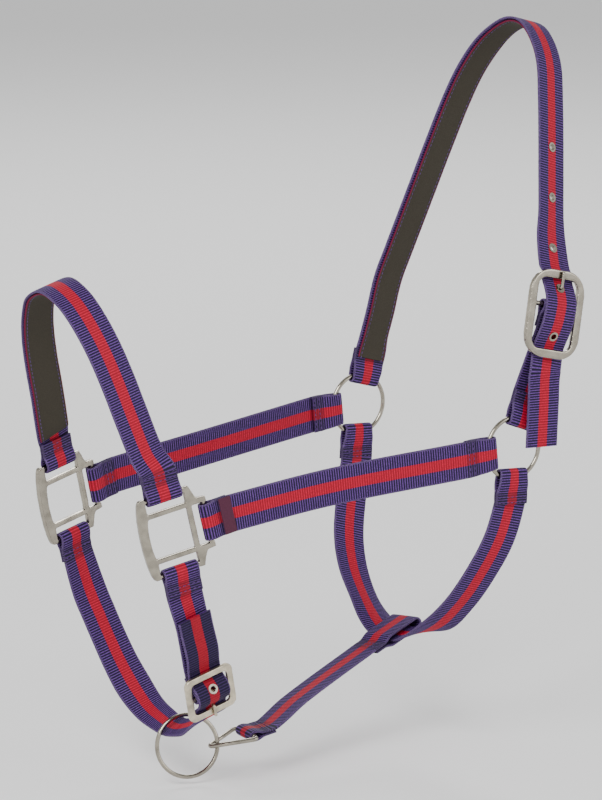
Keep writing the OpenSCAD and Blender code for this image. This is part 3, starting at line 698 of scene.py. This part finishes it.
def strap_tree():
    """Sweeps a soft-edged, ribbed band along a line of stations."""
    found = bpy.data.node_groups.get("Webbing band")
    if found:
        return found
    sizes = ("Thickness", "Rib pitch", "Rib depth", "Sample spacing", "Selvage")
    t, given = new_group(
        "Webbing band", "GeometryNodeTree",
        [("Line", "Geometry"), *((name, "Float", MM) for name in sizes),
         ("Edge softness", "Float", 0.35), ("Profile points", "Int", 32), ("Material", "Material")],
        [("Band", "Geometry")])
    curve = resampled(t, given["Line"], given["Sample spacing"])
    curve = stored(t, curve, "centre", t.out("GeometryNodeInputPosition"), "FLOAT_VECTOR")
    run = t.add("GeometryNodeSplineParameter").outputs["Length"]
    curve = stored(t, curve, "run", run, "FLOAT")
    circle = t.out("GeometryNodeCurvePrimitiveCircle", {"Resolution": given["Profile points"],
                                                        "Radius": MM}, mode="RADIUS")
    spot = t.split(t.out("GeometryNodeInputPosition"))
    soft = given["Edge softness"]
    square = t.combine(*(rounded(t, t.math("DIVIDE", spot[i], MM), soft) for i in (0, 1)))
    profile = stored(t, circle, "profile", square, "FLOAT_VECTOR")
    band = t.out("GeometryNodeCurveToMesh", {"Curve": curve, "Profile Curve": profile,
                                             "Fill Caps": True})
    shape = t.split(named(t, "profile", "FLOAT_VECTOR"))
    run = named(t, "run", "FLOAT")
    turn = t.times(t.math("DIVIDE", run, given["Rib pitch"]), 2 * math.pi)
    valley = t.math("MULTIPLY_ADD", t.math("COSINE", turn), -0.5, 0.5)
    inner = t.math("SUBTRACT", t.math("SUBTRACT", 1.0, given["Selvage"]), t.math("ABSOLUTE", shape[0]))
    ribbed = t.times(inner, 12.0, clamp=True)
    depth = t.times(t.times(valley, ribbed), given["Rib depth"])
    half_t = t.math("SUBTRACT", t.times(given["Thickness"], 0.5), depth)
    aside = t.times(shape[0], named(t, "half_width", "FLOAT"))
    side = t.vector("SCALE", {0: named(t, "across", "FLOAT_VECTOR"), "Scale": aside})
    lift = t.times(shape[1], half_t)
    rise = t.vector("SCALE", {0: named(t, "out", "FLOAT_VECTOR"), "Scale": lift})
    offset = t.vector("ADD", {0: side, 1: rise})
    place = t.vector("ADD", {0: named(t, "centre", "FLOAT_VECTOR"), 1: offset})
    band = t.out("GeometryNodeSetPosition", {"Geometry": band, "Position": place})
    weave = t.combine(shape[0], t.math("DIVIDE", run, MM), shape[1])
    band = stored(t, band, "weave", weave, "FLOAT_VECTOR")
    return real_mesh(t, band, given["Material"])


def stitch_tree():
    """Lays short fat stitches end to end along every line it is given."""
    found = bpy.data.node_groups.get("Stitch rows")
    if found:
        return found
    t, given = new_group(
        "Stitch rows", "GeometryNodeTree",
        [("Lines", "Geometry"), ("Pitch", "Float", MM), ("Thread radius", "Float", MM),
         ("Material", "Material")], [("Stitches", "Geometry")])
    curve = resampled(t, given["Lines"], given["Pitch"])
    bead = t.add("GeometryNodeMeshIcoSphere", {"Radius": given["Thread radius"], "Subdivisions": 2})
    long = t.math("DIVIDE", t.times(given["Pitch"], 0.36), given["Thread radius"])
    shape = t.combine(long, 1.0, 0.8)
    turn = t.out("FunctionNodeAlignRotationToVector",
                 {"Vector": t.out("GeometryNodeInputTangent")}, axis="X")
    dots = t.out("GeometryNodeInstanceOnPoints", {"Points": curve, "Instance": bead.outputs[0],
                                                  "Rotation": turn, "Scale": shape})
    return real_mesh(t, dots, given["Material"])


# ---- making pieces ----
def add_object(name, data):
    made = bpy.data.objects.new(name, data)
    bpy.context.scene.collection.objects.link(made)
    return made


def plain_copy(source, name):
    """The evaluated shape of an object as a plain mesh object of its own."""
    graph = bpy.context.evaluated_depsgraph_get()
    mesh = bpy.data.meshes.new_from_object(source.evaluated_get(graph))
    mesh.name = name
    made = add_object(name, mesh)
    bpy.data.objects.remove(source)
    return made


def outward(piece):
    """Turns a closed mesh's faces outward."""
    work = bmesh.new()
    work.from_mesh(piece.data)
    bmesh.ops.recalc_face_normals(work, faces=work.faces)
    work.to_mesh(piece.data)
    work.free()
    if piece.data.polygons and sum(volume_parts(piece.data)) < 0:
        piece.data.flip_normals()


def volume_parts(mesh):
    mesh.calc_loop_triangles()
    at = mesh.vertices
    for tri in mesh.loop_triangles:
        a, b, c = (at[i].co for i in tri.vertices)
        yield a.dot(b.cross(c))


def line_object(name, lines, stations=None):
    """A mesh of open lines; with stations, each point also carries its band's frame."""
    points, edges = [], []
    for line in lines:
        edges += [(len(points) + i, len(points) + i + 1) for i in range(len(line) - 1)]
        points += [p * MM for p in line]
    mesh = bpy.data.meshes.new(name)
    mesh.from_pydata(points, edges, [])
    if stations:
        across, out, half = [], [], []
        for _, side, face, width in framed(stations):
            across.extend(side)
            out.extend(face)
            half.append(width * MM)
        for key, kind, field, values in (
            ("across", "FLOAT_VECTOR", "vector", across),
            ("out", "FLOAT_VECTOR", "vector", out),
            ("half_width", "FLOAT", "value", half),
        ):
            mesh.attributes.new(key, kind, "POINT").data.foreach_set(field, values)
    return add_object(name, mesh)


def spaced(stations):
    """The stations without repeats of the same place."""
    kept = [stations[0]]
    for s in stations[1:]:
        if (s[0] - kept[-1][0]).length > 0.02:
            kept.append(s)
    return kept


def run_tree(line, tree, values, name):
    modifier = line.modifiers.new("Shape", "NODES")
    modifier.node_group = tree
    modifier_inputs(tree, modifier, values)
    return plain_copy(line, name)


def mark(piece, name, values):
    piece.data.attributes.new(name, "FLOAT", "POINT").data.foreach_set("value", values)


def sewn_here(fold, point):
    """Whether a point lies in the doubled part of a fold, or just past its ends."""
    away = point - fold.centre
    near = abs(away.dot(fold.out)) < 3 and abs(away.dot(fold.across)) < 14
    return near and fold.neck - 2 < away.dot(fold.along) < fold.hem + 1


def sewn_mask(piece, folds):
    """Marks the doubled, sewn part of each fold, for the painted shade that darkens the cloth there."""
    mark(piece, "sewn", [float(any(sewn_here(fold, vertex.co / MM) for fold in folds))
                         for vertex in piece.data.vertices])


def make_band(name, stations, material, folds=(), thickness=WEB_T, rib_depth=None):
    """One strap or lining as a finished mesh."""
    cloth = bpy.context.scene.halter_webbing
    stations = spaced(stations)
    line = line_object(name + "_line", [[s[0] for s in stations]], stations)
    piece = run_tree(line, strap_tree(), {
        "Thickness": thickness * MM,
        "Rib pitch": cloth.rib_pitch,
        "Rib depth": cloth.rib_depth if rib_depth is None else rib_depth,
        "Sample spacing": cloth.rib_pitch / 4 if rib_depth is None else 1.2 * MM,
        "Selvage": cloth.selvage,
        "Material": material,
    }, name)
    outward(piece)
    sewn_mask(piece, folds)
    return piece


def reverse_mask(piece, buckle, start):
    """Marks the part of a strap from start up its buckle, where the smoother reverse face shows and the
    painted rib highlights are dimmed. It fades in over 4 mm."""
    values = []
    for vertex in piece.data.vertices:
        away = vertex.co / MM - buckle.centre
        near = abs(away.dot(buckle.x)) < 20 and away.length < 90
        values.append(min(1.0, max(0.0, (away.dot(buckle.y) - start) / 4)) if near else 0.0)
    mark(piece, "reverse", values)


def place_on(stations, at):
    """Frame on a strap at a count of stretches from its start: x across, z out of its face."""
    i = int(at * STEPS)
    k = at * STEPS - i
    a, b = stations[i], stations[i + 1]
    along = (b[0] - a[0]).normalized()
    across = square_off(a[1] * (1 - k) + b[1] * k, along)
    out = along.cross(across)
    turn = Matrix((across, out.cross(across), out)).transposed().to_4x4()
    return Matrix.Translation(a[0] * (1 - k) + b[0] * k) @ turn


def cut(piece, places, radius=None, box=None):
    """Cuts round holes or a slot through a strap."""
    work = bmesh.new()
    for place in places:
        if radius:
            made = bmesh.ops.create_cone(work, cap_ends=True, segments=32, radius1=radius * MM,
                                         radius2=radius * MM, depth=6 * MM)["verts"]
        else:
            made = bmesh.ops.create_cube(work, size=1)["verts"]
            bmesh.ops.scale(work, vec=V(box) * MM, verts=made)
        shift = Matrix.Translation(place.translation * MM) @ place.to_3x3().to_4x4()
        bmesh.ops.transform(work, matrix=shift, verts=made)
    mesh = bpy.data.meshes.new("cutter")
    work.to_mesh(mesh)
    work.free()
    tool = add_object("cutter", mesh)
    modifier = piece.modifiers.new("Cut", "BOOLEAN")
    modifier.operation, modifier.solver, modifier.object = "DIFFERENCE", "MANIFOLD", tool
    name = piece.name
    piece.name = name + "_uncut"
    uncut = [(v.co.copy(), V(a.vector)) for v, a in
             zip(piece.data.vertices, piece.data.attributes["weave"].data)]
    made = plain_copy(piece, name)
    bpy.data.objects.remove(tool)
    if len(made.data.vertices) < len(uncut) / 2:
        raise RuntimeError(f"cutting {name} lost most of it")
    mend_weave(made, uncut, places)
    return made


def mend_weave(piece, uncut, places):
    """Gives the points round each cut the weave place that the whole strap has there."""
    tree = KDTree(len(uncut))
    for i, (co, _) in enumerate(uncut):
        tree.insert(co, i)
    tree.balance()
    weave = piece.data.attributes["weave"].data
    for i, vertex in enumerate(piece.data.vertices):
        _, nearest, away = tree.find(vertex.co)
        if away < WELD * MM:
            continue
        place = min(places, key=lambda m: (vertex.co - m.translation * MM).length)
        co, known = uncut[nearest]
        step = (vertex.co - co).dot(place.col[0].xyz) / MM
        weave[i].vector = (known.x + step / HALF_W, known.y, known.z)


def aim(thing, direction):
    """Turns a camera or lamp to look along a direction."""
    thing.rotation_mode = "QUATERNION"
    thing.rotation_quaternion = direction.to_track_quat("-Z", "Y")


def buckled_strap(node, start, middles, tail, *cuts):
    """A strap in one with its free tail; each cut is a radius and places along the strap."""
    run = smooth_stations(start.controls() + middles)
    whole = joined(start, middles + tail)
    strap = make_band(node + "_webbing", whole, webbing_material("Striped webbing"), (start,))
    for radius, places in cuts:
        strap = cut(strap, [place_on(run, at) for at in places], radius=radius)
    return strap


def buckle_holder(node, start, middles, end, buckle):
    """The short strap that holds a buckle, with a slot for the tongue."""
    cloth = webbing_material("Striped webbing")
    holder = make_band(node + "_webbing", joined(start, middles, end), cloth, (start, end))
    return cut(holder, [buckle.matrix()], box=TONGUE_SLOT)


def finish_piece(piece, body, slot, *nodes):
    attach(piece, body)
    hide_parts(*nodes)


# ---- operators ----
class HALTER_OT_camera(bpy.types.Operator):
    """Set up the camera"""

    bl_idname = "halter.camera"
    bl_label = "Camera"

    def execute(self, context):
        stage = context.scene.halter_stage
        data = bpy.data.cameras.new("Camera")
        data.lens, data.sensor_width = stage.lens, FILM_WIDTH
        data.clip_start, data.clip_end = 0.1, 50
        camera = add_object("Camera", data)
        a, e = stage.azimuth, stage.elevation
        back = V((math.sin(a) * math.cos(e), -math.cos(a) * math.cos(e), math.sin(e)))
        camera.location = stage.camera_place
        aim(camera, -back)
        context.scene.camera = camera
        return {"FINISHED"}


class HALTER_OT_headstall(bpy.types.Operator):
    """Make the noseband, cheeks, throat strap and connector"""

    bl_idname = "halter.headstall"
    bl_label = "Headstall straps"

    def execute(self, context):
        cloth = webbing_material("Striped webbing")
        near_mid = (CHEEK_SPAN + V((0, 0, 3)), CHEEK_NORMAL, HALF_W)
        far_mid = (flip(CHEEK_SPAN + V((0, 0, 2))), CHEEK_NORMAL, HALF_W)
        straps = {
            "noseband_strap": (NEAR_NOSE, NOSE_MIDDLES, FAR_NOSE),
            "near_cheek_strap": (NEAR_CHEEK, [near_mid], NEAR_CHEEK_RING),
            "far_cheek_strap": (FAR_CHEEK, [far_mid], FAR_CHEEK_RING),
            "throat_strap": (NEAR_THROAT, THROAT_MIDDLES, FAR_THROAT),
            "connector_strap": (LINK_FOLD, CONNECTOR_MIDDLES, THROAT_FOLD),
        }
        for node, (start, middles, end) in straps.items():
            piece = make_band(node + "_webbing", joined(start, middles, end), cloth, (start, end))
            finish_piece(piece, "headstall", "webbing", node)
        return {"FINISHED"}


class HALTER_OT_chin(bpy.types.Operator):
    """Make the chin strap with its tail, and the strap that holds its buckle"""

    bl_idname = "halter.chin"
    bl_label = "Chin straps"

    def execute(self, context):
        strap = buckled_strap("chin_strap", FAR_CHIN, CHIN_MIDDLES, CHIN_TAIL,
                              (EYELET_CUT, [CHIN_EYELET_AT]), (PLAIN_CUT, [CHIN_HOLE_AT]))
        reverse_mask(strap, CHIN_BUCKLE, -12)
        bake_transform(strap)
        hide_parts("chin_strap", "chin_tail")
        holder = buckle_holder("chin_buckle_strap", NEAR_CHIN, CHIN_BUCKLE_MIDDLES,
                               CHIN_BUCKLE_FOLD, CHIN_BUCKLE)
        finish_piece(holder, "headstall", "webbing", "chin_buckle_strap")
        return {"FINISHED"}


class HALTER_OT_crown(bpy.types.Operator):
    """Make the crown strap with its tail, and the strap that holds its buckle"""

    bl_idname = "halter.crown"
    bl_label = "Crown straps"

    def execute(self, context):
        strap = buckled_strap("crown_strap", FAR_CROWN, CROWN_MIDDLES, CROWN_TAIL,
                              (EYELET_CUT, CROWN_EYELET_AT))
        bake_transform(strap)
        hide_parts("crown_strap", "crown_tail")
        holder = buckle_holder("crown_buckle_strap", NEAR_CROWN, CROWN_BUCKLE_MIDDLES,
                               CROWN_BUCKLE_FOLD, CROWN_BUCKLE)
        finish_piece(holder, "crown", "webbing", "crown_buckle_strap")
        return {"FINISHED"}


def nose_lining_stations():
    run = smooth_stations(NEAR_NOSE.controls() + NOSE_MIDDLES + FAR_NOSE.controls()[::-1],
                          even=False)
    trim = STEPS * 3 // 2
    return beside(run[trim : len(run) - trim], LINING_OFF, 1)


def crown_lining_stations():
    run = smooth_stations(FAR_CROWN.controls() + CROWN_MIDDLES)
    return beside(run[2 : STEPS * 17], -LINING_OFF, 2)


class HALTER_OT_linings(bpy.types.Operator):
    """Make the soft linings of the noseband and crown, and the blank sewn tab"""

    bl_idname = "halter.linings"
    bl_label = "Linings and tab"

    def execute(self, context):
        suede = lining_material()
        for name, stations, body in (
            ("noseband_lining", nose_lining_stations(), "headstall"),
            ("crown_lining", crown_lining_stations(), "crown"),
        ):
            piece = make_band(name + "_suede", stations, suede, thickness=LINING_T, rib_depth=0.0)
            finish_piece(piece, body, "lining", name)
        tab = context.scene.halter_webbing.tab
        out = NEAR_CHEEK.along.cross(SQUARE_UP)
        rise = WEB_T / 2 + TAB_T / 2 + TAB_LIFT
        stations = [(NEAR_CHEEK.exit(s) + out * rise, SQUARE_UP, HALF_W - HEM_TRIM)
                    for s in (9.3, 12.5, 17.5)]
        piece = make_band("size_tab_cloth", stations, cloth_material("Tab cloth", tab),
                          thickness=TAB_T, rib_depth=0.0)
        finish_piece(piece, "headstall", "tab", "size_tab")
        return {"FINISHED"}


def row_across(fold, reach):
    """A row of stitches across a fold, on each of its two faces."""
    rows = []
    for rise in (LAYER_OFF + WEB_T / 2, -LAYER_OFF - WEB_T / 2):
        middle = fold.at(reach, rise)
        rows.append([middle - fold.across * 9.8, middle + fold.across * 9.8])
    return rows


def row_along(stations, side, face):
    """A row of stitches along a lining near one of its edges."""
    return [p + across * side * (half - 1.9) + out * face
            for p, across, out, half in framed(stations)]


class HALTER_OT_stitches(bpy.types.Operator):
    """Sew the folds and the linings"""

    bl_idname = "halter.stitches"
    bl_label = "Stitching"

    def execute(self, context):
        cloth = context.scene.halter_webbing
        thread = cloth_material("Sewing thread", cloth.thread)
        face = LINING_T / 2
        for body, folds, lining, side in (
            ("headstall", HEADSTALL_FOLDS, nose_lining_stations(), face),
            ("crown", CROWN_FOLDS, crown_lining_stations(), -face),
        ):
            rows = []
            for fold in folds:
                for reach in (fold.neck + 1.2, fold.neck + 4.8):
                    rows += row_across(fold, reach)
            rows += [row_along(lining, edge, side) for edge in (-1, 1)]
            line = line_object(body + "_rows", rows)
            piece = run_tree(line, stitch_tree(), {"Pitch": cloth.stitch_pitch,
                                                   "Thread radius": THREAD_R * MM,
                                                   "Material": thread}, body + "_stitches")
            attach(piece, body)
        return {"FINISHED"}


CAST = ("near_square", "far_square", "crown_buckle_frame", "chin_buckle_frame")
ROUND = ("near_ring", "far_ring", "tie_ring", "triangle_link", "crown_tongue", "chin_tongue",
         "crown_eyelets", "chin_eyelets")
CREAM = ("chin_buckle_frame", "chin_tongue")


class HALTER_OT_hardware(bpy.types.Operator):
    """Make the squares, buckles, rings, link, tongues and eyelets"""

    bl_idname = "halter.hardware"
    bl_label = "Hardware"

    def execute(self, context):
        metal = context.scene.halter_metal
        nickel = metal_material("Nickel plate", metal.nickel, 0.12, 0.26)
        cream = metal_material("Satin nickel", metal.cream, 0.26, 0.4)
        bodies = {n: b for b, ns in frame["record"]["behaviour"]["bodies"].items() for n in ns}
        for node in CAST + ROUND:
            mesh = frame["nodes"][node].data.copy()
            work = bmesh.new()
            work.from_mesh(mesh)
            bmesh.ops.remove_doubles(work, verts=work.verts, dist=WELD * MM)
            for face in work.faces:
                face.smooth = True
            work.to_mesh(mesh)
            work.free()
            mesh.materials.clear()
            mesh.materials.append(cream if node in CREAM else nickel)
            source = add_object(node + "_source", mesh)
            if node in CAST:
                skin = source.modifiers.new("Skin", "REMESH")
                skin.mode, skin.voxel_size, skin.use_smooth_shade = "VOXEL", metal.skin, True
                wear_and_shade = source.modifiers.new("Worn edges", "SMOOTH")
                wear_and_shade.factor, wear_and_shade.iterations = 0.5, metal.polish
            piece = plain_copy(source, node + "_metal")
            if node in ROUND:
                piece.data.set_sharp_from_angle(angle=math.radians(40))
            finish_piece(piece, bodies[node], "cream_nickel" if node in CREAM else "nickel", node)
        return {"FINISHED"}


class HALTER_OT_stage(bpy.types.Operator):
    """Make the floor and the soft studio light"""

    bl_idname = "halter.stage"
    bl_label = "Stage"

    def execute(self, context):
        stage = context.scene.halter_stage
        low = CAD_BOX[0].z - FLOOR_DROP
        half = FLOOR_HALF
        mesh = bpy.data.meshes.new("floor")
        corners = [(-half, -half, low), (half, -half, low), (half, half, low), (-half, half, low)]
        mesh.from_pydata(corners, [], [(0, 1, 2, 3)])
        made, _, shader = new_material("Pale floor", 0.9)
        shader.inputs["Base Color"].default_value = rgba(stage.floor)
        mesh.materials.append(made)
        floor = add_object("floor", mesh)
        world = bpy.data.worlds.new("Studio")
        world.use_nodes = True
        background = world.node_tree.nodes["Background"]
        t = Tree(world.node_tree)
        height = t.split(t.add("ShaderNodeTexCoord").outputs["Generated"])[2]
        lift = t.out("ShaderNodeMapRange", {"Value": height, "From Min": -0.1, "From Max": 0.75,
                                            "To Min": 1.0, "To Max": 0.3})
        t.link(lift, background.inputs["Color"])
        background.inputs["Strength"].default_value = stage.daylight
        context.scene.world = world
        for name, place, power, size in (
            ("key", (-2.2, -1.4, 2.0), stage.key, 1.4),
            ("fill", (1.6, -2.4, 1.2), stage.key * 0.35, 1.8),
            ("rim", (1.2, 2.2, 1.8), stage.key * 0.4, 1.2),
        ):
            lamp = bpy.data.lights.new(name, "AREA")
            lamp.energy, lamp.size = power, size
            lit = add_object(name, lamp)
            lit.location = place
            aim(lit, -V(place))
        return {"FINISHED"}


class HALTER_PT_panel(bpy.types.Panel):
    """Steps that make the halter"""

    bl_label = "Halter"
    bl_space_type = "VIEW_3D"
    bl_region_type = "UI"
    bl_category = "Halter"

    def draw(self, context):
        for step in STEPS_IN_ORDER:
            self.layout.operator(step.bl_idname)
        for group in (context.scene.halter_webbing, context.scene.halter_metal,
                      context.scene.halter_stage):
            box = self.layout.box()
            for key in group.bl_rna.properties.keys():
                if key not in ("rna_type", "name"):
                    box.prop(group, key)


GROUPS = {"halter_webbing": HalterWebbing, "halter_metal": HalterMetal, "halter_stage": HalterStage}
STEPS_IN_ORDER = (HALTER_OT_camera, HALTER_OT_headstall, HALTER_OT_chin, HALTER_OT_crown,
                  HALTER_OT_linings, HALTER_OT_stitches, HALTER_OT_hardware, HALTER_OT_stage)
CLASSES = (*GROUPS.values(), *STEPS_IN_ORDER, HALTER_PT_panel)


def register():
    for cls in CLASSES:
        bpy.utils.register_class(cls)
    for name, group in GROUPS.items():
        setattr(bpy.types.Scene, name, bpy.props.PointerProperty(type=group))


def unregister():
    for name in GROUPS:
        delattr(bpy.types.Scene, name)
    for cls in reversed(CLASSES):
        bpy.utils.unregister_class(cls)


def main():
    register()
    bpy.ops.halter.camera()
    bpy.ops.halter.headstall()
    bpy.ops.halter.chin()
    bpy.ops.halter.crown()
    bpy.ops.halter.linings()
    bpy.ops.halter.stitches()
    bpy.ops.halter.hardware()
    bpy.ops.halter.stage()


if __name__ == "__main__":
    main()
